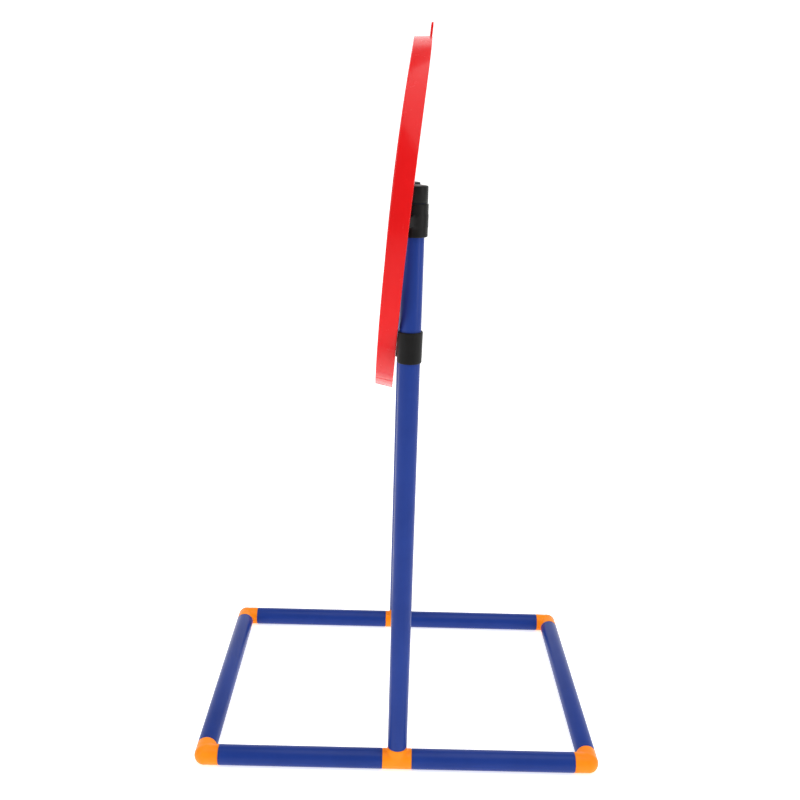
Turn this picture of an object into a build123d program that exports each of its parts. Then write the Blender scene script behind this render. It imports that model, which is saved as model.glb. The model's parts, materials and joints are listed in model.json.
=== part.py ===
"""Agility hurdle: a hoop that turns between two posts, on a push-together tube base.

Millimetres, +Z up. The origin is the centre of the base at floor level. The dog runs
along X; the posts stand at -Y (right) and +Y (left); the hoop leans over the posts
with its bottom towards -X (front).
"""

from math import cos, radians, sin, sqrt
import os

from build123d import *

os.makedirs("parts", exist_ok=True)

# ---------------------------------------------------------------- base and posts
TUBE_R = 15.0            # base tubes and connector barrels, outside
TUBE_WALL = 1.6
POST_R = 14.5            # posts, outside
POST_WALL = 1.6
BASE_X = 288.0           # centre to the axis of a cross tube
BASE_Y = 210.0           # centre to the axis of a side tube, and to a post
AXIS_Z = TUBE_R          # height of the base tube axes over the floor

ELBOW_LEG = 21.5         # corner of the axes to the end of the elbow's barrel
TEE_HALF = 22.0          # half the tee's barrel
TEE_STUB = 22.0          # tube axis to the top of the tee's upright barrel
SPIGOT_LEN = 28.0        # how far a connector reaches into its tube
SPIGOT_GAP = 0.15        # radial play between spigot and tube
CONNECTOR_WALL = 2.2
EDGE = 0.5               # small chamfer on tube ends and barrels

# ---------------------------------------------------------------- post fittings
POST_TOP_RIGHT = 839.0 + AXIS_Z
LEFT_POST_DROP = 22.0    # the left post is shorter, and its clips lower, by this much
CAP_R = 17.5
CAP_SKIRT = 18.5         # skirt below the top of the post
CAP_TOP = 3.0            # closed end above the post, with a slight dome on it
CAP_DOME = 1.2
CAP_EDGE = 0.8
CAP_CLEAR = 0.05

CLIP_BORE_R = POST_R + 0.35
UPPER_CLIP_R = 18.5
UPPER_CLIP_LEN = 42.0
LOWER_CLIP_R_TOP = 16.9
LOWER_CLIP_R_FOOT = 16.3
LOWER_CLIP_LEN = 42.4
LOWER_CLIP_RIGHT = 634.0 + AXIS_Z
CAP_TO_CLIP = 0.5

# ---------------------------------------------------------------- hoop
HOOP_X = -25.4           # front edge of the hoop at its own centre height
HOOP_Z = 783.5 + AXIS_Z
HOOP_LEAN = 4.95         # degrees, top towards +X
HOOP_R = 250.3           # outside radius at the front edge
HOOP_FLARE = 3.3         # how much larger the radius is at the back edge
HOOP_WIDTH = 25.4
HOOP_BOW = 7.2           # how far the sides stand forward of the top and bottom
WEB = 2.6                # outer band
BACK_FLANGE = 3.0
BACK_DEPTH = 11.0
FRONT_LIP = 2.4
FRONT_DEPTH = 6.0

JOINER_START = 21.0      # degrees from the bottom, towards the right post
JOINER_END = 31.0
JOINER_GAP = 0.12        # degrees, the seam at each end of a joiner
SPLICE = 5.0             # degrees of splice plate beyond each end
SPLICE_THICK = 2.0
SPLICE_PLAY = 0.15

LUG_HEIGHT = 18.5        # tab standing over the back edge at the top
LUG_WIDTH = 26.0
LUG_THICK = 3.2
LUG_CORNER = 7.0

# ---------------------------------------------------------------- clip arms and pivots
PIVOT_ACROSS = 12.4      # pivot axis from the hoop's front edge
PIVOT_BOSS_R = 6.0       # boss inside the channel that takes the pivot pin
PIVOT_BOSS_FACE = 246.0  # from the middle of the pivot axis to the boss's face
PIVOT_HOLE_END = 249.7
PIN_R = 3.0
PIN_PLAY = 0.08
PIN_END_PLAY = 0.3
ARM_R = 7.0              # round end of an upper clip's arm
ARM_ROOT = 236.0         # where the arm's round end starts
CLIP_EDGE = 0.6
PAD_THICK = 8.0          # lower clip's arm, with the pad that stops the hoop
PAD_PLAY = 0.35
PAD_END_R = 5.8
PAD_HALF = 11.0          # half the arm's height at the sleeve, less its corner
PAD_CORNER = 3.0
PAD_SHORT = 8.0          # the arm stops this far short of the post's axis
PAD_CIRCLE_R = HOOP_R + HOOP_FLARE - BACK_DEPTH / 2

SIDES = {"right": -1, "left": 1}
ENDS = {"front": -1, "rear": 1}


def finish(builder, name):
    """Label one piece and write it."""
    builder.part.label = name
    export_step(builder.part, f"parts/{name}.step")


def tube(name, plane, length, radius, wall):
    """A plain round tube along the plane's normal, with its outer ends eased."""
    with BuildPart() as piece:
        with BuildSketch(plane):
            Circle(radius)
            Circle(radius - wall, mode=Mode.SUBTRACT)
        extrude(amount=length)
        ends = piece.edges().filter_by(GeomType.CIRCLE).filter_by(lambda e: e.radius > radius - wall / 2)
        chamfer(ends, EDGE)
    finish(piece, name)


def barrel(plane, length, outer, both=False):
    """The flush part of a connector arm, its open rim eased."""
    with BuildPart(mode=Mode.PRIVATE) as arm:
        with BuildSketch(plane):
            Circle(outer)
        extrude(amount=length, both=both)
        rims = arm.edges().filter_by(GeomType.CIRCLE)
        chamfer(rims if both else rims.sort_by_distance(plane.origin)[-1], EDGE)
    add(arm.part)


def spigot(plane, length, outer, hollow, both=False):
    """The thinner end that the tube slides over, bored right through the barrel."""
    with BuildSketch(plane) as thin:
        Circle(outer)
    extrude(thin.sketch, amount=length + SPIGOT_LEN, both=both)
    with BuildSketch(plane) as hole:
        Circle(hollow)
    extrude(hole.sketch, amount=length + SPIGOT_LEN, both=both, mode=Mode.SUBTRACT)


# ---------------------------------------------------------------- base tubes
side_tube_len = BASE_X - ELBOW_LEG - TEE_HALF
cross_tube_len = 2 * (BASE_Y - ELBOW_LEG)

for side, sy in SIDES.items():
    for end, sx in ENDS.items():
        start = Plane(origin=(sx * TEE_HALF, sy * BASE_Y, AXIS_Z), z_dir=(sx, 0, 0))
        tube(f"side_tube_{end}_{side}", start, side_tube_len, TUBE_R, TUBE_WALL)

for end, sx in ENDS.items():
    start = Plane(origin=(sx * BASE_X, -cross_tube_len / 2, AXIS_Z), z_dir=(0, 1, 0))
    tube(f"cross_tube_{end}", start, cross_tube_len, TUBE_R, TUBE_WALL)

# ---------------------------------------------------------------- connectors
tube_spigot_r = TUBE_R - TUBE_WALL - SPIGOT_GAP
post_spigot_r = POST_R - POST_WALL - SPIGOT_GAP
hollow_r = tube_spigot_r - CONNECTOR_WALL
post_hollow_r = post_spigot_r - CONNECTOR_WALL

for side, sy in SIDES.items():
    for end, sx in ENDS.items():
        corner = (sx * BASE_X, sy * BASE_Y, AXIS_Z)
        arms = [Plane(origin=corner, z_dir=(-sx, 0, 0)), Plane(origin=corner, z_dir=(0, -sy, 0))]
        with BuildPart() as elbow:
            with Locations(corner):
                Sphere(TUBE_R)
            for arm in arms:
                barrel(arm, ELBOW_LEG, TUBE_R)
            for arm in arms:
                spigot(arm, ELBOW_LEG, tube_spigot_r, hollow_r)
        finish(elbow, f"elbow_{end}_{side}")

for side, sy in SIDES.items():
    middle = (0, sy * BASE_Y, AXIS_Z)
    along = Plane(origin=middle, z_dir=(1, 0, 0))
    upright = Plane(origin=middle, z_dir=(0, 0, 1))
    with BuildPart() as tee:
        barrel(along, TEE_HALF, TUBE_R, both=True)
        barrel(upright, TEE_STUB, POST_R)
        spigot(along, TEE_HALF, tube_spigot_r, hollow_r, both=True)
        spigot(upright, TEE_STUB, post_spigot_r, post_hollow_r)
    finish(tee, f"tee_{side}")

# ---------------------------------------------------------------- posts and caps
post_foot = AXIS_Z + TEE_STUB
post_tops = {"right": POST_TOP_RIGHT, "left": POST_TOP_RIGHT - LEFT_POST_DROP}
dome_r = ((CAP_R - CAP_EDGE) ** 2 + CAP_DOME**2) / (2 * CAP_DOME)

for side, sy in SIDES.items():
    top = post_tops[side]
    foot = Plane(origin=(0, sy * BASE_Y, post_foot))
    tube(f"post_{side}", foot, top - post_foot, POST_R, POST_WALL)

    with BuildPart() as cap:
        with BuildSketch(Plane(origin=(0, sy * BASE_Y, 0), x_dir=(1, 0, 0), z_dir=(0, -1, 0))):
            with BuildLine():
                Polyline(
                    (0, top + CAP_TOP + CAP_DOME),
                    (0, top),
                    (POST_R + CAP_CLEAR, top),
                    (POST_R + CAP_CLEAR, top - CAP_SKIRT),
                    (CAP_R, top - CAP_SKIRT),
                    (CAP_R, top + CAP_TOP - CAP_EDGE),
                    (CAP_R - CAP_EDGE, top + CAP_TOP),
                )
                RadiusArc((CAP_R - CAP_EDGE, top + CAP_TOP), (0, top + CAP_TOP + CAP_DOME), -dome_r)
            make_face()
        revolve(axis=Axis((0, sy * BASE_Y, 0), (0, 0, 1)))
    finish(cap, f"cap_{side}")

# ---------------------------------------------------------------- hoop
lean = radians(HOOP_LEAN)
hoop_axis = Vector(cos(lean), 0, -sin(lean))
hoop_up = Vector(sin(lean), 0, cos(lean))
hoop_centre = Vector(HOOP_X, 0, HOOP_Z)
hoop_plan = Plane(origin=hoop_centre, x_dir=hoop_axis, z_dir=hoop_up)
hoop_section = Plane(origin=hoop_centre, x_dir=hoop_axis, z_dir=(0, -1, 0))
hoop_face = Plane(origin=hoop_centre, x_dir=(0, 1, 0), z_dir=hoop_axis)
REACH = 300.0            # beyond the hoop in every direction
BEYOND = 40.0


def bowed_slab(front, back):
    """The space between two copies of the hoop's bowed edge surface."""
    forward = HOOP_BOW * (REACH / HOOP_R) ** 2
    with BuildPart() as slab:
        with BuildSketch(hoop_plan):
            with BuildLine():
                ThreePointArc((front - forward, -REACH), (front, 0), (front - forward, REACH))
                Line((front - forward, REACH), (back - forward, REACH))
                ThreePointArc((back - forward, REACH), (back, 0), (back - forward, -REACH))
                Line((back - forward, -REACH), (front - forward, -REACH))
            make_face()
        extrude(amount=REACH, both=True)
    return slab.part


def flared_disc(inset):
    """A solid that fills the hoop out to its flared outside face, less an inset."""
    slope = HOOP_FLARE / HOOP_WIDTH
    with BuildPart() as disc:
        with BuildSketch(hoop_section):
            with BuildLine():
                Polyline(
                    (-BEYOND, 0),
                    (-BEYOND, HOOP_R - inset - slope * BEYOND),
                    (HOOP_WIDTH + BEYOND, HOOP_R - inset + HOOP_FLARE + slope * BEYOND),
                    (HOOP_WIDTH + BEYOND, 0),
                    close=True,
                )
            make_face()
        revolve(axis=Axis(hoop_centre, hoop_axis))
    return disc.part


def sector(start, end):
    """A wedge about the hoop's axis; degrees from the bottom towards the right post."""
    steps = 4
    angles = [radians(start + (end - start) * i / steps) for i in range(steps + 1)]
    rim = [(-2 * REACH * sin(a), -2 * REACH * cos(a)) for a in angles]
    with BuildPart() as wedge:
        with BuildSketch(hoop_face):
            with BuildLine():
                Polyline((0, 0), *rim, close=True)
            make_face()
        extrude(amount=4 * BEYOND, both=True)
    return wedge.part


def hoop_point(across, radius, height, sy):
    """A point at a height over the floor, on a circle about the hoop's bowed axis."""
    rise = (height - HOOP_Z) / cos(lean)
    side = sqrt(radius**2 - rise**2)
    forward = across - HOOP_BOW * (side / HOOP_R) ** 2
    return hoop_centre + hoop_axis * forward + hoop_up * rise + Vector(0, sy * side, 0)


def pad_plane(height, sy):
    """Square to the hoop's bowed back face, where a lower clip's pad meets it."""
    origin = hoop_point(HOOP_WIDTH, PAD_CIRCLE_R, height, sy)
    normal = hoop_axis + Vector(0, 2 * HOOP_BOW * origin.Y / HOOP_R**2, 0)
    return Plane(origin=origin, x_dir=(0, sy, 0), z_dir=normal)


clip_heights = {}
for side, top in post_tops.items():
    clip_heights["upper", side] = top - CAP_SKIRT - CAP_TO_CLIP - UPPER_CLIP_LEN / 2
    clip_heights["lower", side] = LOWER_CLIP_RIGHT + top - POST_TOP_RIGHT

pivots = {
    side: hoop_point(PIVOT_ACROSS, PIVOT_BOSS_FACE, clip_heights["upper", side], sy)
    for side, sy in SIDES.items()
}
pivot_middle = (pivots["left"] + pivots["right"]) / 2
pivot_axis = (pivots["left"] - pivots["right"]).normalized()


def pivot_plane(side, distance):
    """Square to the pivot axis, facing outwards, at a distance from its middle."""
    outward = pivot_axis * SIDES[side]
    return Plane(origin=pivot_middle + outward * distance, x_dir=(1, 0, 0), z_dir=outward)


band = flared_disc(0)
channel_floor = flared_disc(WEB)
whole_width = bowed_slab(0, HOOP_WIDTH)
channel_width = bowed_slab(FRONT_LIP, HOOP_WIDTH - BACK_FLANGE)
front_width = bowed_slab(-BEYOND, FRONT_LIP + 1)

with BuildPart() as hoop_ring:
    add(band)
    add(whole_width, mode=Mode.INTERSECT)
    add(flared_disc(BACK_DEPTH), mode=Mode.SUBTRACT)
    add(channel_floor & channel_width, mode=Mode.SUBTRACT)
    add(flared_disc(FRONT_DEPTH) & front_width, mode=Mode.SUBTRACT)
    for side in SIDES:
        with BuildSketch(pivot_plane(side, PIVOT_BOSS_FACE)):
            Circle(PIVOT_BOSS_R)
        extrude(amount=PIVOT_HOLE_END - PIVOT_BOSS_FACE)
        with BuildSketch(pivot_plane(side, PIVOT_BOSS_FACE)):
            Circle(PIN_R + PIN_PLAY)
        extrude(amount=PIVOT_HOLE_END - PIVOT_BOSS_FACE, mode=Mode.SUBTRACT)

halves = {
    "right": (JOINER_END + JOINER_GAP, JOINER_START + 180 - JOINER_GAP),
    "left": (JOINER_END + 180 + JOINER_GAP, JOINER_START + 360 - JOINER_GAP),
}

for side, (start, end) in halves.items():
    with BuildPart() as hoop_half:
        add(hoop_ring.part)
        add(sector(start, end), mode=Mode.INTERSECT)
        if start < 180 < end:
            rim = HOOP_R + HOOP_FLARE
            with BuildSketch(Plane(origin=hoop_centre + hoop_axis * HOOP_WIDTH, x_dir=(0, 1, 0),
                                   z_dir=-hoop_axis)):
                with BuildLine():
                    FilletPolyline(
                        (-LUG_WIDTH / 2, -rim + 2), (-LUG_WIDTH / 2, -rim - LUG_HEIGHT),
                        (LUG_WIDTH / 2, -rim - LUG_HEIGHT), (LUG_WIDTH / 2, -rim + 2),
                        radius=LUG_CORNER)
                    Line((LUG_WIDTH / 2, -rim + 2), (-LUG_WIDTH / 2, -rim + 2))
                make_face()
            extrude(amount=LUG_THICK)
    finish(hoop_half, f"hoop_half_{side}")

for place, turn in (("lower", 0), ("upper", 180)):
    own_span = sector(JOINER_START + turn, JOINER_END + turn)
    long_span = sector(JOINER_START - SPLICE + turn, JOINER_END + SPLICE + turn)
    plate = flared_disc(WEB + SPLICE_PLAY) - flared_disc(WEB + SPLICE_PLAY + SPLICE_THICK)
    plate_width = bowed_slab(FRONT_LIP + SPLICE_PLAY, HOOP_WIDTH - BACK_FLANGE - SPLICE_PLAY)
    root = flared_disc(WEB / 2) - flared_disc(WEB + SPLICE_PLAY + SPLICE_THICK / 2)
    with BuildPart() as joiner:
        add(hoop_ring.part & own_span)
        add(plate & plate_width & long_span)
        add(root & plate_width & own_span)
    finish(joiner, f"hoop_joiner_{place}")

# ---------------------------------------------------------------- clips
# Each clip is a sleeve that slides on the post. An upper clip has an arm that ends inside
# the hoop's channel, with the pin that the hoop turns on. A lower clip has an arm with a
# pad behind the hoop, which stops it.


def clip_sleeve(side, low, high, top_r, foot_r):
    """The solid outside of a clip's sleeve, in the clip being built."""
    post_line = Plane(origin=(0, SIDES[side] * BASE_Y, 0), x_dir=(1, 0, 0), z_dir=(0, -1, 0))
    with BuildSketch(post_line) as half_section:
        with BuildLine():
            Polyline(
                (0, low), (foot_r - CLIP_EDGE, low), (foot_r, low + CLIP_EDGE),
                (top_r, high - CLIP_EDGE), (top_r - CLIP_EDGE, high), (0, high),
                close=True)
        make_face()
    revolve(half_section.sketch, axis=Axis(post_line.origin, (0, 0, 1)))


def clip_bore(side, low, high):
    """The hole for the post, through the clip being built."""
    with BuildSketch(Plane(origin=(0, SIDES[side] * BASE_Y, low - 1))) as hole:
        Circle(CLIP_BORE_R)
    extrude(hole.sketch, amount=high - low + 2, mode=Mode.SUBTRACT)


for side, sy in SIDES.items():
    z = clip_heights["upper", side]
    low, high = z - UPPER_CLIP_LEN / 2, z + UPPER_CLIP_LEN / 2
    root = pivot_plane(side, ARM_ROOT)
    with BuildPart() as upper_clip:
        clip_sleeve(side, low, high, UPPER_CLIP_R, UPPER_CLIP_R)
        with BuildSketch(Plane(origin=(0, 0, root.origin.Z - ARM_R))):
            with Locations((0, sy * BASE_Y)):
                Circle(UPPER_CLIP_R - CLIP_EDGE)
            with Locations((root.origin.X, sy * (abs(root.origin.Y) - ARM_R))):
                Rectangle(2 * ARM_R, 2 * ARM_R)
            make_hull()
        extrude(amount=2 * ARM_R)
        with BuildSketch(root.offset(-ARM_R)):
            Circle(ARM_R)
        extrude(amount=PIVOT_BOSS_FACE - PIN_END_PLAY - ARM_ROOT + ARM_R)
        with BuildSketch(root):
            Circle(PIN_R)
        extrude(amount=PIVOT_HOLE_END - PIN_END_PLAY - ARM_ROOT)
        clip_bore(side, low, high)
    finish(upper_clip, f"upper_clip_{side}")

for side, sy in SIDES.items():
    z = clip_heights["lower", side]
    low, high = z - LOWER_CLIP_LEN / 2, z + LOWER_CLIP_LEN / 2
    pad = pad_plane(z, sy).offset(PAD_PLAY)
    arm_end = BASE_Y - abs(pad.origin.Y) - PAD_SHORT
    with BuildPart() as lower_clip:
        clip_sleeve(side, low, high, LOWER_CLIP_R_TOP, LOWER_CLIP_R_FOOT)
        with BuildSketch(pad):
            Rectangle(4 * UPPER_CLIP_R, 2 * LOWER_CLIP_LEN)
        extrude(amount=-BEYOND, mode=Mode.SUBTRACT)
        with BuildSketch(pad):
            Circle(PAD_END_R)
            with Locations((arm_end, PAD_HALF), (arm_end, -PAD_HALF)):
                Circle(PAD_CORNER)
            make_hull()
        extrude(amount=PAD_THICK)
        clip_bore(side, low, high)
    finish(lower_clip, f"lower_clip_{side}")
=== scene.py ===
"""Looks of the agility hurdle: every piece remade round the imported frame, in metres."""
import json
from math import cos, pi, radians, sin

import bmesh
import bpy
import numpy as np
from mathutils import Matrix, Vector

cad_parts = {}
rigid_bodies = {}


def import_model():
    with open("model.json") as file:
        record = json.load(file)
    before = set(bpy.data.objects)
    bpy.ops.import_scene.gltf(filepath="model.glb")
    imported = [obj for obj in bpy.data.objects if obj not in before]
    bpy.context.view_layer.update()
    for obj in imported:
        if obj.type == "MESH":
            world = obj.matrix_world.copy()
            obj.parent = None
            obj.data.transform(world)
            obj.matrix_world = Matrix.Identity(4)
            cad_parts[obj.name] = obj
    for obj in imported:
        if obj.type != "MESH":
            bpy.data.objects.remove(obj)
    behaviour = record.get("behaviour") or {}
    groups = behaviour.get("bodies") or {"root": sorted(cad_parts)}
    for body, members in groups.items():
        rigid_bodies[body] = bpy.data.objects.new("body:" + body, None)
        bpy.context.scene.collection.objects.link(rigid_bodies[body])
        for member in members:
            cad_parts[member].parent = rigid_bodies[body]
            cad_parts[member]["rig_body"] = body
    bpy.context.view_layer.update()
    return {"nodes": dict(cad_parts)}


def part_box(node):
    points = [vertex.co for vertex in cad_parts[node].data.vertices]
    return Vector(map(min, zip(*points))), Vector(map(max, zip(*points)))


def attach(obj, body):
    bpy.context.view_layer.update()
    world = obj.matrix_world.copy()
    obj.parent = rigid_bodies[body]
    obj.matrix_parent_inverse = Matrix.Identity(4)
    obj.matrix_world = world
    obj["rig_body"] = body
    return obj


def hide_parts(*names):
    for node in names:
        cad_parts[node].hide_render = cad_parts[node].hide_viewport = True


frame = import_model()

MM = 0.001
SEGMENTS = 96            # round a tube, cap or spigot

# ---------------------------------------------------------------- sizes, in millimetres
TUBE_WALL = 1.6
CONNECTOR_WALL = 2.2
SPIGOT_GAP = 0.15
SPIGOT_LEN = 28.0
SPIGOT_ROOT = 1.5        # how far a spigot is let into its barrel
RIM = 0.7                # easing of tube ends and barrel rims
SADDLE = 2.4             # blend where a tee's upright leaves its barrel
CORNER = 1.4             # blend in the crotch of an elbow
CAP_EDGE = 1.6
CAP_DOME = 1.2
CAP_SKIRT_GAP = 0.05

HOOP_X = -25.4
HOOP_Z = 798.5
HOOP_LEAN = radians(4.95)
HOOP_R = 250.3
HOOP_FLARE = 3.3
HOOP_WIDTH = 25.4
HOOP_BOW = 7.2
WEB = 2.6
BACK_FLANGE = 3.0
BACK_DEPTH = 11.0
FRONT_LIP = 2.4
FRONT_DEPTH = 6.0
JOINER_START = 21.0      # degrees from the bottom, towards the right post
JOINER_END = 31.0
JOINER_GAP = 0.12
HOOP_STEP = 0.75         # degrees between sections
LUG_HEIGHT = 18.5
LUG_WIDTH = 26.0
LUG_THICK = 3.2
LUG_CORNER = 7.0
SPLICE = 5.0             # degrees of splice plate beyond each end of a joiner
SPLICE_THICK = 2.0
SPLICE_PLAY = 0.15


# ---------------------------------------------------------------- mesh helpers
def piece(name, verts, faces, node, material):
    """A new mesh piece, given in millimetres, that stands for one CAD node."""
    mesh = bpy.data.meshes.new(name)
    mesh.from_pydata([Vector(v) * MM for v in verts], [], faces)
    return dress(name, mesh, node, material)


def dress(name, mesh, node, material):
    """Clean a mesh, shade it, give it its material and put it in the frame."""
    bm = bmesh.new()
    bm.from_mesh(mesh)
    bmesh.ops.remove_doubles(bm, verts=bm.verts, dist=1e-6)
    bmesh.ops.recalc_face_normals(bm, faces=bm.faces)
    for edge in bm.edges:
        edge.smooth = len(edge.link_faces) == 2 and edge.calc_face_angle(0) < radians(38)
    for face in bm.faces:
        face.smooth = True
    bm.to_mesh(mesh)
    bm.free()
    obj = bpy.data.objects.new(name, mesh)
    bpy.context.scene.collection.objects.link(obj)
    mesh.materials.append(MATERIALS[material])
    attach(obj, frame["nodes"][node]["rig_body"])
    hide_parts(node)
    return obj


def rounded(corners, steps=4):
    """A closed outline of (x, y, radius) corners, each rounded by an arc."""
    points = []
    count = len(corners)
    for i, (x, y, r) in enumerate(corners):
        here = np.array((x, y))
        if r <= 0:
            points.append(tuple(here))
            continue
        back = np.array(corners[i - 1][:2]) - here
        ahead = np.array(corners[(i + 1) % count][:2]) - here
        back /= np.linalg.norm(back)
        ahead /= np.linalg.norm(ahead)
        half = 0.5 * np.arccos(np.clip(back @ ahead, -1, 1))
        centre = here + (back + ahead) / np.linalg.norm(back + ahead) * r / sin(half)
        start = here + back * r / np.tan(half) - centre
        end = here + ahead * r / np.tan(half) - centre
        a0 = np.arctan2(start[1], start[0])
        turn = (np.arctan2(end[1], end[0]) - a0 + pi) % (2 * pi) - pi
        for k in range(steps + 1):
            a = a0 + turn * k / steps
            points.append((centre[0] + r * cos(a), centre[1] + r * sin(a)))
    return points


def lathe(outline, plane, closed=True, segments=SEGMENTS):
    """Verts and faces of an outline of (radius, height) turned about the plane's z axis."""
    verts, faces = [], []
    count = len(outline)
    for s in range(segments):
        a = 2 * pi * s / segments
        verts += [plane @ Vector((r * cos(a), r * sin(a), h)) for r, h in outline]
    for s in range(segments):
        here, there = s * count, (s + 1) % segments * count
        for k in range(count if closed else count - 1):
            n = (k + 1) % count
            faces.append((here + k, there + k, there + n, here + n))
    return verts, faces


def placed(origin, axis):
    """A matrix whose z axis lies along the given direction, through the origin given."""
    turn = Vector((0, 0, 1)).rotation_difference(Vector(axis)).to_matrix().to_4x4()
    return Matrix.Translation(Vector(origin)) @ turn


def box_mm(node):
    """A node's low corner, high corner and middle, in millimetres."""
    low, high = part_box(node)
    return low / MM, high / MM, (low + high) / 2 / MM


SIDES = {"right": -1, "left": 1}
ENDS = {"front": -1, "rear": 1}
TUBE_R = box_mm("cross_tube_front")[2].z
POST_R = (box_mm("post_right")[1].x - box_mm("post_right")[0].x) / 2
POST_Y = box_mm("post_left")[2].y
BASE_X = box_mm("cross_tube_rear")[2].x
ELBOW_LEG = BASE_X - SPIGOT_LEN - box_mm("elbow_rear_left")[0].x


# ---------------------------------------------------------------- moulded shapes
# Connectors and clips are moulded plastic with blended corners. Each is described by a
# distance function, meshed evenly, and every point is then moved onto the true surface.

def smooth_min(a, b, k):
    """The nearer of two surfaces, blended over a width k."""
    h = np.clip(0.5 + 0.5 * (b - a) / k, 0, 1)
    return b + (a - b) * h - k * h * (1 - h)


def smooth_max(a, b, k):
    """The overlap of two solids, with its edge rounded over a width k."""
    return -smooth_min(-a, -b, k)


def rod(p, origin, axis, radius):
    """Distance to an endless rod, and how far along it each point is."""
    d = p - origin
    along = d @ axis
    return np.linalg.norm(d - along[:, None] * axis, axis=1) - radius, along


def barrel(p, origin, axis, radius, start, end, rim):
    """A round bar between two stations, its ends eased by about the rim size."""
    side, along = rod(p, origin, axis, radius)
    ends = np.abs(along - (start + end) / 2) - (end - start) / 2
    return smooth_max(side, ends, 2.2 * rim)


def rough_solid(name, bars, balls=()):
    """An object of plain overlapping bars and balls."""
    bm = bmesh.new()
    for start, end, radius in bars:
        axis = Vector(end) - Vector(start)
        at = placed((Vector(start) + Vector(end)) / 2, axis.normalized())
        bmesh.ops.create_cone(bm, cap_ends=True, segments=48, radius1=radius, radius2=radius,
                              depth=axis.length, matrix=at)
    for centre, radius in balls:
        bmesh.ops.create_uvsphere(bm, u_segments=48, v_segments=24, radius=radius,
                                  matrix=Matrix.Translation(centre))
    mesh = bpy.data.meshes.new(name)
    bm.to_mesh(mesh)
    bm.free()
    obj = bpy.data.objects.new(name, mesh)
    bpy.context.scene.collection.objects.link(obj)
    return obj


def even_mesh(rough, grain, cutter=None):
    """The rough solid as one skin of even squares, less a cutter; both are used up."""
    remesh = rough.modifiers.new("even", "REMESH")
    remesh.mode = "VOXEL"
    remesh.voxel_size = grain
    if cutter:
        cut = rough.modifiers.new("cut", "BOOLEAN")
        cut.operation = "DIFFERENCE"
        cut.object = cutter
        again = rough.modifiers.new("again", "REMESH")
        again.mode = "VOXEL"
        again.voxel_size = grain
    even = bpy.data.meshes.new_from_object(
        rough.evaluated_get(bpy.context.evaluated_depsgraph_get()))
    for obj in filter(None, (rough, cutter)):
        mesh = obj.data
        bpy.data.objects.remove(obj)
        bpy.data.meshes.remove(mesh)
    return even


def moulded(name, shape, bars, balls, grain, extra, node, material, bore=None):
    """Mesh a distance function: bars, balls and a bore give a rough start for the mesh."""
    cutter = rough_solid(name + "_bore", [bore]) if bore else None
    even = even_mesh(rough_solid(name + "_rough", bars, balls), grain, cutter)

    points = np.empty(len(even.vertices) * 3, np.float32)
    even.vertices.foreach_get("co", points)
    points = points.reshape(-1, 3).astype(float)
    nudge = 0.02
    for _ in range(8):
        slope = np.stack([(shape(points + e) - shape(points - e)) / (2 * nudge)
                          for e in np.eye(3) * nudge], axis=1)
        steep = np.maximum(np.sum(slope * slope, axis=1), 0.05)
        points -= np.clip(shape(points) / steep, -grain, grain)[:, None] * slope
    verts = [tuple(v) for v in points]
    faces = [tuple(f.vertices) for f in even.polygons]
    bpy.data.meshes.remove(even)
    for more_verts, more_faces in extra:
        base = len(verts)
        verts += [tuple(v) for v in more_verts]
        faces += [tuple(base + i for i in f) for f in more_faces]
    return piece(name, verts, faces, node, material)


def sleeve(plane, outer, inner, start, end):
    """A thin round sleeve, such as a connector's spigot, with eased ends."""
    outline = rounded([(inner, start, 0.4), (outer, start, 0.4),
                       (outer, end, 0.8), (inner, end, 0.4)])
    return lathe(outline, plane)


# ---------------------------------------------------------------- base, posts and caps
def tube(node, material="blue_tube"):
    """A length of tube with eased ends, along the longest side of its CAD node."""
    low, high, middle = box_mm(node)
    size = high - low
    long_way = max(range(3), key=lambda i: size[i])
    radius = min(size) / 2
    axis = Vector([1.0 if i == long_way else 0.0 for i in range(3)])
    half = size[long_way] / 2
    outline = rounded([(radius - TUBE_WALL, -half, 0.3), (radius, -half, RIM),
                       (radius, half, RIM), (radius - TUBE_WALL, half, 0.3)])
    verts, faces = lathe(outline, placed(middle, axis))
    return piece(node.replace("tube", "blue_tube"), verts, faces, node, material)


def elbow(node, corner, arms):
    """A corner connector: two barrels that meet in a ball, and a spigot in each tube."""
    leg = ELBOW_LEG
    spigot = TUBE_R - TUBE_WALL - SPIGOT_GAP
    corner = np.array(corner)
    arms = [np.array(a, float) for a in arms]

    def shape(p):
        parts = []
        for axis in arms:
            side, along = rod(p, corner, axis, TUBE_R)
            ball = np.linalg.norm(p - corner, axis=1) - TUBE_R
            bar = np.where(along < 0, ball, side)
            parts.append(smooth_max(bar, along - leg, 2.2 * RIM))
        return smooth_min(parts[0], parts[1], CORNER) + CORNER / 4 * np.exp(
            -((parts[0] - parts[1]) / CORNER) ** 2) * (np.minimum(
                (p - corner) @ arms[0], (p - corner) @ arms[1]) < 0)

    bars = [(corner, corner + axis * leg, TUBE_R) for axis in arms]
    extra = [sleeve(placed(corner, axis), spigot, spigot - CONNECTOR_WALL,
                    leg - SPIGOT_ROOT, leg + SPIGOT_LEN) for axis in arms]
    return moulded(node + "_moulding", shape, bars, [(corner, TUBE_R)], 0.7, extra, node,
                   "orange_connector")


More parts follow.
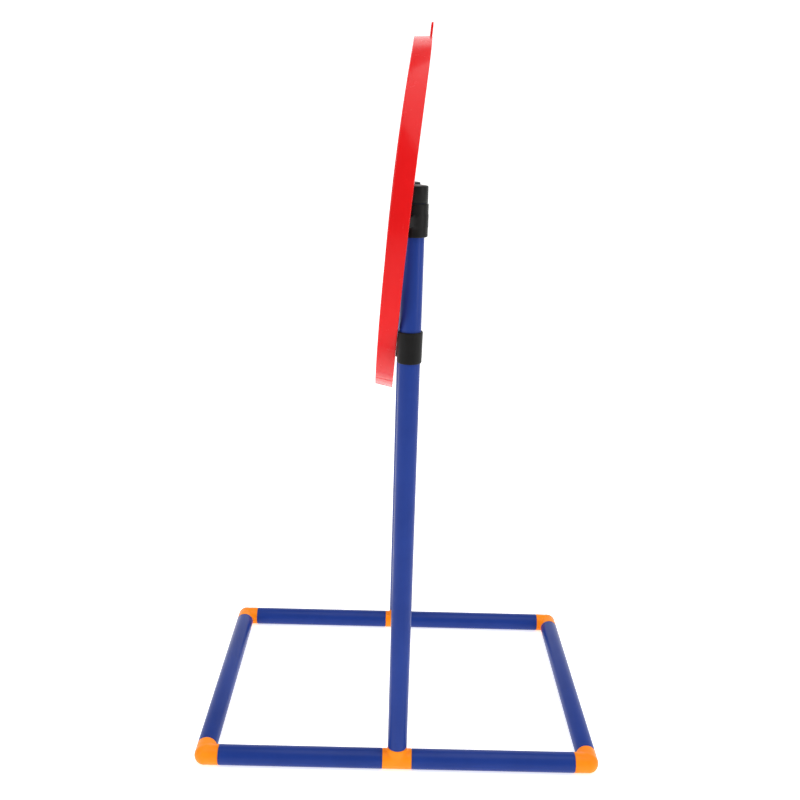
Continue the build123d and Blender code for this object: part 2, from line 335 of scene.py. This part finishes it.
def tee(node, middle):
    """A post connector: a barrel along the side tubes and a short upright with a spigot."""
    middle = np.array(middle)
    along, up = np.array((1.0, 0, 0)), np.array((0, 0, 1.0))
    low, high, _ = box_mm(node)
    half = (high.x - low.x) / 2 - SPIGOT_LEN
    stub = high.z - middle[2] - SPIGOT_LEN
    spigot = TUBE_R - TUBE_WALL - SPIGOT_GAP
    post_spigot = POST_R - TUBE_WALL - SPIGOT_GAP

    def shape(p):
        run = barrel(p, middle, along, TUBE_R, -half, half, RIM)
        upright = barrel(p, middle, up, POST_R, -2.0, stub, RIM)
        return smooth_min(run, upright, SADDLE)

    bars = [(middle - along * half, middle + along * half, TUBE_R),
            (middle, middle + up * stub, POST_R)]
    extra = [sleeve(placed(middle, way), spigot, spigot - CONNECTOR_WALL,
                    half - SPIGOT_ROOT, half + SPIGOT_LEN) for way in (along, -along)]
    extra.append(sleeve(placed(middle, up), post_spigot, post_spigot - CONNECTOR_WALL,
                        stub - SPIGOT_ROOT, stub + SPIGOT_LEN))
    return moulded(node + "_moulding", shape, bars, [], 0.7, extra, node, "orange_connector")


def cap(node):
    """A push-on cap: a skirt round the post's end and a gently domed top."""
    low, high, middle = box_mm(node)
    radius = (high.x - low.x) / 2
    shoulder = high.z - CAP_DOME
    post_top = box_mm(node.replace("cap", "post"))[1].z
    bore = POST_R + CAP_SKIRT_GAP
    dome = [(radius - CAP_EDGE) * (1 - i / 10) for i in range(1, 11)]
    outline = [(0, post_top), (bore, post_top), (bore, low.z + 0.4), (bore + 0.4, low.z),
               (radius - 0.6, low.z), (radius - 0.18, low.z + 0.18), (radius, low.z + 0.6)]
    outline += [(radius - CAP_EDGE + CAP_EDGE * cos(a), shoulder - CAP_EDGE + CAP_EDGE * sin(a))
                for a in np.linspace(0, pi / 2, 8)]
    rest = radius - CAP_EDGE
    outline += [(r, shoulder + CAP_DOME * (1 - (r / rest) ** 2)) for r in dome]
    verts, faces = lathe(outline, placed((middle.x, middle.y, 0), (0, 0, 1)), closed=False)
    return piece(node + "_moulding", verts, faces, node, "black_fitting")


# ---------------------------------------------------------------- hoop
AXIS = Vector((cos(HOOP_LEAN), 0, -sin(HOOP_LEAN)))
UP = Vector((sin(HOOP_LEAN), 0, cos(HOOP_LEAN)))
CENTRE = Vector((HOOP_X, 0, HOOP_Z))


def on_hoop(angle, across, depth):
    """A point on the hoop: degrees from the bottom, width across it, depth under its face."""
    a = radians(angle)
    radius = HOOP_R + HOOP_FLARE * across / HOOP_WIDTH - depth
    side, rise = -radius * sin(a), -radius * cos(a)
    forward = across - HOOP_BOW * (side / HOOP_R) ** 2
    return CENTRE + AXIS * forward + UP * rise + Vector((0, side, 0))


def channel(inset=0.0):
    """The hoop's section, as (across, depth) round a channel that is open inwards."""
    e, w = inset, HOOP_WIDTH
    crisp, soft = 0.45, 1.1 - inset
    return rounded([
        (e, e, soft), (w - e, e, soft), (w - e, BACK_DEPTH - e, 0.9 - e),
        (w - BACK_FLANGE + e, BACK_DEPTH - e, 0.9 - e), (w - BACK_FLANGE + e, WEB - e, crisp),
        (FRONT_LIP - e, WEB - e, crisp), (FRONT_LIP - e, FRONT_DEPTH - e, 0.8 - e),
        (e, FRONT_DEPTH - e, 0.8 - e)])


def plate(inset=0.0):
    """The section of a joiner's splice plate, inside the channel."""
    near = FRONT_LIP + SPLICE_PLAY + inset
    far = HOOP_WIDTH - BACK_FLANGE - SPLICE_PLAY - inset
    outer = WEB + SPLICE_PLAY + inset
    inner = WEB + SPLICE_PLAY + SPLICE_THICK - inset
    return rounded([(near, outer, 0.3), (far, outer, 0.3), (far, inner, 0.3),
                    (near, inner, 0.3)], 2)


def swept(section, start, end, eased=0.35):
    """A length of hoop with closed, slightly eased ends."""
    nudge = np.degrees(eased / HOOP_R)
    steps = max(2, round((end - start) / HOOP_STEP))
    stations = [(start, eased), (start + nudge * 0.35, eased * 0.35), (start + nudge, 0.0)]
    inner = np.linspace(start + nudge, end - nudge, steps + 1)[1:-1]
    stations += [(a, 0.0) for a in inner]
    stations += [(end - nudge, 0.0), (end - nudge * 0.35, eased * 0.35), (end, eased)]
    verts, faces = [], []
    count = len(section())
    for angle, inset in stations:
        verts += [on_hoop(angle, across, depth) for across, depth in section(inset)]
    for s in range(len(stations) - 1):
        for k in range(count):
            n = (k + 1) % count
            faces.append((s * count + k, s * count + n, (s + 1) * count + n, (s + 1) * count + k))
    faces.append(tuple(range(count)))
    faces.append(tuple(len(verts) - count + k for k in range(count)))
    return verts, faces


def joined(*meshes):
    """Several verts and faces pairs as one."""
    verts, faces = [], []
    for more_verts, more_faces in meshes:
        base = len(verts)
        verts += more_verts
        faces += [tuple(base + i for i in f) for f in more_faces]
    return verts, faces


def lug():
    """The tab that stands over the hoop's back edge at the top, as a rounded plate."""
    root = HOOP_R + HOOP_FLARE - WEB / 2
    top = HOOP_R + HOOP_FLARE + LUG_HEIGHT
    half = LUG_WIDTH / 2
    ease = 0.8
    layers = [(0.0, ease), (0.25, 0.25), (ease, 0.0), (LUG_THICK - ease, 0.0),
              (LUG_THICK - 0.25, 0.25), (LUG_THICK, ease)]
    verts, faces = [], []
    for back, inset in layers:
        outline = rounded([(-half + inset, root, 0), (half - inset, root, 0),
                           (half - inset, top - inset, LUG_CORNER),
                           (-half + inset, top - inset, LUG_CORNER)], 8)
        verts += [CENTRE + AXIS * (HOOP_WIDTH - back) + UP * rise + Vector((0, side, 0))
                  for side, rise in outline]
        count = len(outline)
    for s in range(len(layers) - 1):
        for k in range(count):
            n = (k + 1) % count
            faces.append((s * count + k, s * count + n, (s + 1) * count + n, (s + 1) * count + k))
    faces.append(tuple(range(count)))
    faces.append(tuple(len(verts) - count + k for k in range(count)))
    return verts, faces


def pivot_boss(side):
    """The round boss on the channel's floor that takes a clip's pin."""
    middle, line = pivots()
    plane = placed(middle, line * SIDES[side])
    inner = PIN_R + PIN_PLAY
    outline = [(inner, PIVOT_BOSS_FACE + 0.3), (inner + 0.3, PIVOT_BOSS_FACE),
               (PIVOT_BOSS_R - 0.5, PIVOT_BOSS_FACE), (PIVOT_BOSS_R, PIVOT_BOSS_FACE + 0.5),
               (PIVOT_BOSS_R, PIVOT_HOLE_END), (inner, PIVOT_HOLE_END)]
    return lathe(outline, plane, segments=48)


def hoop():
    """Two long halves, and two short joiners with splice plates inside the channel."""
    halves = {"right": (JOINER_END + JOINER_GAP, JOINER_START + 180 - JOINER_GAP),
              "left": (JOINER_END + 180 + JOINER_GAP, JOINER_START + 360 - JOINER_GAP)}
    for side, (start, end) in halves.items():
        parts = [swept(channel, start, end), pivot_boss(side)]
        if start < 180 < end:
            parts.append(lug())
        piece(f"hoop_band_{side}", *joined(*parts), f"hoop_half_{side}", "red_hoop")
    for place, turn in (("lower", 0), ("upper", 180)):
        start, end = JOINER_START + turn, JOINER_END + turn
        parts = (swept(channel, start, end), swept(plate, start - SPLICE, end + SPLICE))
        piece(f"hoop_splice_{place}", *joined(*parts), f"hoop_joiner_{place}", "red_hoop")


# ---------------------------------------------------------------- clips
CLIP_PLAY = 0.35
CLIP_BORE_R = POST_R + CLIP_PLAY
UPPER_CLIP_R = 18.5
LOWER_CLIP_R_TOP = 16.9
LOWER_CLIP_R_FOOT = 16.3
CLIP_GRAIN = 0.8

PIVOT_ACROSS = 12.4
PIVOT_BOSS_R = 6.0
PIVOT_BOSS_FACE = 246.0
PIVOT_HOLE_END = 249.7
PIN_R = 3.0
PIN_PLAY = 0.08
PIN_END_PLAY = 0.3
ARM_R = 7.0
ARM_ROOT = 236.0

PAD_THICK = 8.0
PAD_PLAY = 0.35
PAD_END_R = 5.8
PAD_HALF = 11.0
PAD_CORNER = 3.0
PAD_SHORT = 8.0
PAD_CIRCLE_R = HOOP_R + HOOP_FLARE - BACK_DEPTH / 2


def at_height(across, radius, height, sy):
    """A point at a height over the floor, on a circle about the hoop's bowed axis."""
    rise = (height - HOOP_Z) / cos(HOOP_LEAN)
    side = (radius**2 - rise**2) ** 0.5
    forward = across - HOOP_BOW * (side / HOOP_R) ** 2
    return CENTRE + AXIS * forward + UP * rise + Vector((0, sy * side, 0))


def outline_distance(points, corners):
    """Signed distance in a plane to a convex outline, whose corners go round leftwards."""
    nearest = np.full(len(points), np.inf)
    outside = np.zeros(len(points), bool)
    for i, start in enumerate(corners):
        a = np.array(start)
        edge = np.array(corners[(i + 1) % len(corners)]) - a
        d = points - a
        share = np.clip(d @ edge / (edge @ edge), 0, 1)
        nearest = np.minimum(nearest, np.linalg.norm(d - share[:, None] * edge, axis=1))
        outside |= edge[0] * d[:, 1] - edge[1] * d[:, 0] < 0
    return np.where(outside, nearest, -nearest)


def sleeve_body(p, post, half, top_r, foot_r):
    """Distance to the outside of a clip's sleeve, and from each point to the post's axis."""
    from_axis, along = rod(p, post, np.array((0, 0, 1.0)), 0.0)
    radius = foot_r + (top_r - foot_r) * (along + half) / (2 * half)
    return smooth_max(from_axis - radius, np.abs(along) - half, 1.5), from_axis


def pivots():
    """The middle of the hoop's pivot axis, and its direction from right to left."""
    ends = [at_height(PIVOT_ACROSS, PIVOT_BOSS_FACE, box_mm(f"upper_clip_{side}")[2].z, sy)
            for side, sy in SIDES.items()]
    return (ends[0] + ends[1]) / 2, (ends[1] - ends[0]).normalized()


def upper_clip(side, sy):
    """A sleeve whose arm ends inside the hoop's channel, with the pin the hoop turns on."""
    node = f"upper_clip_{side}"
    low, high, _ = box_mm(node)
    post = np.array((0, sy * POST_Y, (low.z + high.z) / 2))
    half = (high.z - low.z) / 2
    up = np.array((0, 0, 1.0))
    middle, line = pivots()
    outward = np.array(line * sy)
    root = np.array(middle) + outward * ARM_ROOT
    reach = PIVOT_BOSS_FACE - PIN_END_PLAY - ARM_ROOT

    def shape(p):
        body, from_axis = sleeve_body(p, post, half, UPPER_CLIP_R, UPPER_CLIP_R)
        arm = barrel(p, root, outward, ARM_R, -3 * ARM_R, reach, 0.5)
        web_across = post[:2] - root[:2]
        run = web_across @ web_across
        share = np.clip((p[:, :2] - root[:2]) @ web_across / run, -0.1, 1)
        thick = ARM_R + (UPPER_CLIP_R - 1 - ARM_R) * np.clip(share, 0, 1)
        spine = root[:2] + share[:, None] * web_across
        web = smooth_max(np.linalg.norm(p[:, :2] - spine, axis=1) - thick,
                         np.abs(p[:, 2] - root[2]) - ARM_R, 2.0)
        return smooth_max(smooth_min(smooth_min(body, web, 3.0), arm, 1.5),
                          CLIP_BORE_R - from_axis, 0.6)

    bars = [(post - up * half, post + up * half, UPPER_CLIP_R),
            (root - outward * 2 * ARM_R, root + outward * reach, ARM_R)]
    for k in range(7):
        spot = root + (post - root) * np.array((1, 1, 0)) * k / 6
        wide = ARM_R + (UPPER_CLIP_R - 1 - ARM_R) * k / 6
        bars.append((spot - up * ARM_R, spot + up * ARM_R, wide))
    tip = PIVOT_HOLE_END - PIN_END_PLAY - ARM_ROOT
    pin = lathe([(0, reach - 2), (PIN_R, reach - 2), (PIN_R, tip - 0.5), (PIN_R - 0.5, tip),
                 (0, tip)], placed(root, outward), closed=False, segments=48)
    return moulded(f"{node}_moulding", shape, bars, [], CLIP_GRAIN, [pin], node,
                   "black_fitting",
                   bore=(post - up * (half + 2), post + up * (half + 2), CLIP_BORE_R - 0.4))


def lower_clip(side, sy):
    """A sleeve with an arm whose flat pad stands just behind the hoop and stops it."""
    node = f"lower_clip_{side}"
    low, high, _ = box_mm(node)
    post = np.array((0, sy * POST_Y, (low.z + high.z) / 2))
    half = (high.z - low.z) / 2
    up = np.array((0, 0, 1.0))
    face = at_height(HOOP_WIDTH, PAD_CIRCLE_R, post[2], sy)
    normal = (AXIS + Vector((0, 2 * HOOP_BOW * face.y / HOOP_R**2, 0))).normalized()
    outward = (Vector((0, sy, 0)) - normal * (sy * normal.y)).normalized()
    seat, outward, rise, normal = [
        np.array(v) for v in (face + normal * PAD_PLAY, outward, normal.cross(outward), normal)]
    arm_end = POST_Y - abs(seat[1]) - PAD_SHORT
    boss = PAD_END_R - PAD_CORNER
    corners = [(0, -boss), (arm_end, -PAD_HALF), (arm_end, PAD_HALF), (0, boss)]

    def shape(p):
        body, from_axis = sleeve_body(p, post, half, LOWER_CLIP_R_TOP, LOWER_CLIP_R_FOOT)
        d = p - seat
        across = d @ normal
        flat = outline_distance(np.stack([d @ outward, d @ rise], axis=1), corners)
        arm = smooth_max(flat - PAD_CORNER, np.abs(across - PAD_THICK / 2) - PAD_THICK / 2, 1.4)
        body = smooth_max(body, -across, 0.5)
        return smooth_max(smooth_min(body, arm, 2.5), CLIP_BORE_R - from_axis, 0.6)

    def place(u, v, w):
        return seat + outward * u + rise * v + normal * w

    bars = [(post - up * half, post + up * half, LOWER_CLIP_R_TOP),
            (place(0, 0, 0), place(0, 0, PAD_THICK), PAD_END_R)]
    bars += [(place(arm_end * k / 6, v * k / 6, 0), place(arm_end * k / 6, v * k / 6, PAD_THICK),
              PAD_CORNER + 1) for k in range(1, 7) for v in np.linspace(-PAD_HALF, PAD_HALF, 5)]
    return moulded(f"{node}_moulding", shape, bars, [], CLIP_GRAIN, [], node, "black_fitting",
                   bore=(post - up * (half + 2), post + up * (half + 2), CLIP_BORE_R - 0.4))


# ---------------------------------------------------------------- materials
def nodes_of(name):
    """A new material's node tree and its main shader."""
    material = bpy.data.materials.new(name)
    material.use_nodes = True
    tree = material.node_tree
    return material, tree, tree.nodes["Principled BSDF"]


def wire(tree, kind, inputs=None, **settings):
    """Add a node, set its options, and fill or link its inputs."""
    node = tree.nodes.new(kind)
    for key, value in settings.items():
        setattr(node, key, value)
    for key, value in (inputs or {}).items():
        if isinstance(value, bpy.types.NodeSocket):
            tree.links.new(value, node.inputs[key])
        else:
            node.inputs[key].default_value = value
    return node


def plastic(name, colour, darker, roughness, spread, coat, grain, relief, stretch=(1, 1, 1),
            blotch=9.0, specular=0.12):
    """Moulded plastic: uneven pigment, uneven gloss, and a fine surface along a direction."""
    material, tree, shader = nodes_of(name)
    place = wire(tree, "ShaderNodeTexCoord").outputs["Object"]
    along = wire(tree, "ShaderNodeMapping", {"Vector": place, "Scale": stretch}).outputs["Vector"]
    pigment = wire(tree, "ShaderNodeTexNoise", {"Vector": place, "Scale": blotch, "Detail": 5.0,
                                                "Roughness": 0.6}).outputs["Fac"]
    tint = wire(tree, "ShaderNodeValToRGB", {"Fac": pigment})
    tint.color_ramp.elements[0].position = 0.32
    tint.color_ramp.elements[0].color = (*darker, 1)
    tint.color_ramp.elements[1].position = 0.68
    tint.color_ramp.elements[1].color = (*colour, 1)
    tree.links.new(tint.outputs["Color"], shader.inputs["Base Color"])
    rub = wire(tree, "ShaderNodeTexNoise", {"Vector": along, "Scale": 60.0, "Detail": 6.0,
                                            "Roughness": 0.7}).outputs["Fac"]
    gloss = wire(tree, "ShaderNodeMapRange", {"Value": rub, "From Min": 0.3, "From Max": 0.7,
                                              "To Min": roughness - spread,
                                              "To Max": roughness + spread})
    tree.links.new(gloss.outputs["Result"], shader.inputs["Roughness"])
    fine = wire(tree, "ShaderNodeTexNoise", {"Vector": along, "Scale": grain, "Detail": 3.0,
                                             "Roughness": 0.55}).outputs["Fac"]
    bump = wire(tree, "ShaderNodeBump", {"Height": fine, "Strength": relief, "Distance": 0.0004})
    tree.links.new(bump.outputs["Normal"], shader.inputs["Normal"])
    shader.inputs["Specular IOR Level"].default_value = specular
    shader.inputs["Coat Weight"].default_value = coat
    shader.inputs["Coat Roughness"].default_value = 0.12
    return material


BLUE = ((0.0140, 0.043, 0.250), (0.0105, 0.035, 0.215))
DRAWN = 0.03             # tube texture is drawn out along the tube by this ratio
MATERIALS = {
    "blue_tube_x": plastic("blue_tube_x", *BLUE, 0.32, 0.05, 0.03, 420.0, 0.10,
                           (DRAWN, 1, 1)),
    "blue_tube_y": plastic("blue_tube_y", *BLUE, 0.32, 0.05, 0.03, 420.0, 0.10,
                           (1, DRAWN, 1)),
    "blue_tube_z": plastic("blue_tube_z", *BLUE, 0.32, 0.05, 0.03, 420.0, 0.10,
                           (1, 1, DRAWN)),
    "orange_connector": plastic("orange_connector", (1.0, 0.29, 0.010), (0.96, 0.24, 0.006),
                                0.36, 0.06, 0.03, 900.0, 0.12, blotch=30.0),
    "red_hoop": plastic("red_hoop", (0.74, 0.007, 0.008), (0.66, 0.005, 0.006),
                        0.24, 0.05, 0.10, 160.0, 0.05, blotch=6.0),
    "black_fitting": plastic("black_fitting", (0.0080, 0.0076, 0.0076), (0.0055, 0.0052, 0.0052),
                             0.38, 0.06, 0.0, 1400.0, 0.25, blotch=60.0),
}


# ---------------------------------------------------------------- assembly
for end in ENDS:
    tube(f"cross_tube_{end}", "blue_tube_y")
for side, sy in SIDES.items():
    tube(f"post_{side}", "blue_tube_z")
    cap(f"cap_{side}")
    tee(f"tee_{side}", (0, sy * POST_Y, TUBE_R))
    for end, sx in ENDS.items():
        tube(f"side_tube_{end}_{side}", "blue_tube_x")
        elbow(f"elbow_{end}_{side}", (sx * BASE_X, sy * POST_Y, TUBE_R),
              ((-sx, 0, 0), (0, -sy, 0)))
    upper_clip(side, sy)
    lower_clip(side, sy)
hoop()


# ---------------------------------------------------------------- stage, light and camera
CAMERA_PLACE = (-0.02344, -1.44669, 0.93759)
CAMERA_TURN = (0.01025, 0.28480, -0.02895)      # yaw, pitch down and roll, in radians
CAMERA_LENS = 43.361
SENSOR = 36.0

def stage():
    """A pale floor that runs up into a pale wall far behind."""
    reach, rise, bend, steps = 9.0, 9.0, 3.0, 16
    line = [(-reach, 0.0)]
    line += [(reach - bend + bend * sin(a), bend - bend * cos(a))
             for a in np.linspace(0, pi / 2, steps)]
    line.append((reach, rise))
    verts = [(x, y, z) for y, z in line for x in (-14.0, 14.0)]
    faces = [(2 * i, 2 * i + 1, 2 * i + 3, 2 * i + 2) for i in range(len(line) - 1)]
    mesh = bpy.data.meshes.new("floor")
    mesh.from_pydata(verts, [], faces)
    for polygon in mesh.polygons:
        polygon.use_smooth = True
    floor = bpy.data.objects.new("floor", mesh)
    bpy.context.scene.collection.objects.link(floor)
    material, tree, shader = nodes_of("pale_floor")
    shader.inputs["Base Color"].default_value = (0.92, 0.92, 0.92, 1)
    shader.inputs["Emission Color"].default_value = (1, 1, 1, 1)
    shader.inputs["Emission Strength"].default_value = 0.66
    shader.inputs["Roughness"].default_value = 0.9
    shader.inputs["Specular IOR Level"].default_value = 0.1
    mesh.materials.append(material)


def softbox(name, place, aim, size, power):
    """A rectangular soft light that faces a point."""
    light = bpy.data.lights.new(name, "AREA")
    light.shape = "RECTANGLE"
    light.size, light.size_y = size
    light.energy = power
    obj = bpy.data.objects.new(name, light)
    bpy.context.scene.collection.objects.link(obj)
    obj.location = place
    obj.rotation_euler = (Vector(aim) - Vector(place)).to_track_quat("-Z", "Y").to_euler()


def camera():
    """The viewpoint: in front of the right post, a little above its cap, looking down."""
    yaw, pitch, roll = CAMERA_TURN
    ahead = Vector((sin(yaw) * cos(pitch), cos(yaw) * cos(pitch), -sin(pitch)))
    level = Vector((cos(yaw), -sin(yaw), 0))
    down = ahead.cross(level)
    right = cos(roll) * level + sin(roll) * down
    up = sin(roll) * level - cos(roll) * down
    data = bpy.data.cameras.new("camera")
    data.sensor_width = SENSOR
    data.lens = CAMERA_LENS
    data.clip_end = 60
    obj = bpy.data.objects.new("camera", data)
    bpy.context.scene.collection.objects.link(obj)
    obj.matrix_world = Matrix.Translation(CAMERA_PLACE) @ Matrix(
        (right, up, -ahead)).transposed().to_4x4()
    bpy.context.scene.camera = obj


stage()
world = bpy.data.worlds.new("studio")
world.use_nodes = True
world.node_tree.nodes["Background"].inputs["Color"].default_value = (1, 1, 1, 1)
world.node_tree.nodes["Background"].inputs["Strength"].default_value = 0.38
bpy.context.scene.world = world
bpy.context.scene.view_settings.view_transform = "Standard"
softbox("top", (0.3, -0.4, 3.2), (0, 0, 0.5), (2.6, 2.6), 50)
softbox("left", (-2.6, -1.6, 1.6), (0, 0, 0.6), (1.2, 2.2), 25)
softbox("right", (2.8, -1.2, 1.4), (0, 0, 0.6), (1.0, 2.2), 25)
camera()
